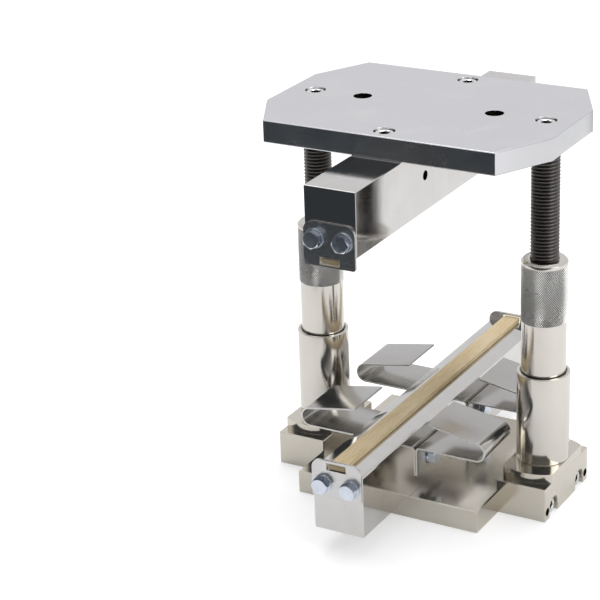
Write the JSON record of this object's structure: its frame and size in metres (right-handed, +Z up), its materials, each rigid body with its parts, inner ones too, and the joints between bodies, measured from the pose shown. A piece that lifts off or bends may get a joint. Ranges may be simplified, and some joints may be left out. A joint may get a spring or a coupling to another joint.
{
  "type": "compression testing machine splitting-tensile jig",
  "caption": "Splitting-tensile jig for a compression testing machine: a fixed lower loading bar and a sprung upper one, set in height by knurled nuts on its columns.",
  "frame": {"origin": "on the floor, midway between the two columns and midway along the loading bars", "axes": "+X from the left column to the right one, +Y along the loading bars to the rear, +Z up"},
  "size_m": [0.257, 0.3528, 0.334],
  "materials": {
    "nickel_plated_steel": "satin nickel plate, fine turning marks",
    "satin_plate_steel": "satin, light grey",
    "ground_steel": "ground bright, marks across the bar",
    "plated_screw_steel": "bright plated cap screws",
    "spring_steel": "polished strip with bright edges",
    "zinc_plated_steel": "bright zinc, bluish",
    "blackened_steel": "black oxide, oiled",
    "hardened_steel": "ground",
    "hardboard": "matt, tan"
  },
  "bodies": {
    "base": {"base_plate": "nickel_plated_steel", "left_foot": "nickel_plated_steel", "right_foot": "nickel_plated_steel", "foot_screws": "plated_screw_steel", "foot_dowels": "hardened_steel", "left_sleeve": "nickel_plated_steel", "right_sleeve": "nickel_plated_steel", "lower_bar": "ground_steel", "lower_bar_screws": "plated_screw_steel", "lower_strip": "hardboard", "lower_front_stop": "ground_steel", "lower_rear_stop": "ground_steel", "lower_stop_bolts": "zinc_plated_steel", "lower_stop_washers": "zinc_plated_steel", "front_left_hairpin": "spring_steel", "front_right_hairpin": "spring_steel", "rear_left_hairpin": "spring_steel", "rear_right_hairpin": "spring_steel", "hairpin_bolts": "zinc_plated_steel", "hairpin_washers": "zinc_plated_steel", "left_column_spring": "spring_steel", "right_column_spring": "spring_steel"},
    "lifters": {"left_lifter": "hardened_steel", "right_lifter": "hardened_steel", "left_thrust_washer": "hardened_steel", "right_thrust_washer": "hardened_steel"},
    "left_nut": {"left_nut": "nickel_plated_steel"},
    "right_nut": {"right_nut": "nickel_plated_steel"},
    "crosshead": {"top_plate": "satin_plate_steel", "upper_bar": "ground_steel", "upper_bar_screws": "plated_screw_steel", "left_rod": "blackened_steel", "right_rod": "blackened_steel", "rod_screws": "plated_screw_steel", "upper_strip": "hardboard", "upper_front_stop": "ground_steel", "upper_rear_stop": "ground_steel", "upper_stop_bolts": "zinc_plated_steel", "upper_stop_washers": "zinc_plated_steel"}
  },
  "joints": [
    {"name": "press_stroke", "type": "slide", "parent": "base", "child": "lifters", "axis": [0, 0, 1], "range_m": [-0.025, 0], "stiffness_N_per_m": 20000, "springref_m": 0.012, "deforming": ["left_column_spring", "right_column_spring"]},
    {"name": "left_nut_turn", "type": "hinge", "parent": "lifters", "child": "left_nut", "pos_m": [-0.105, 0, 0.1], "axis": [0, 0, 1], "range_deg": [-3000, 10800]},
    {"name": "right_nut_turn", "type": "hinge", "parent": "lifters", "child": "right_nut", "pos_m": [0.105, 0, 0.1], "axis": [0, 0, 1], "range_deg": [-3000, 10800]},
    {"name": "height_adjust", "type": "slide", "parent": "lifters", "child": "crosshead", "axis": [0, 0, 1], "range_m": [-0.09, 0.025]}
  ],
  "couplings": [
    {"joint": "left_nut_turn", "follows": "height_adjust", "rad_per_m": -2094.4},
    {"joint": "right_nut_turn", "follows": "height_adjust", "rad_per_m": -2094.4}
  ]
}
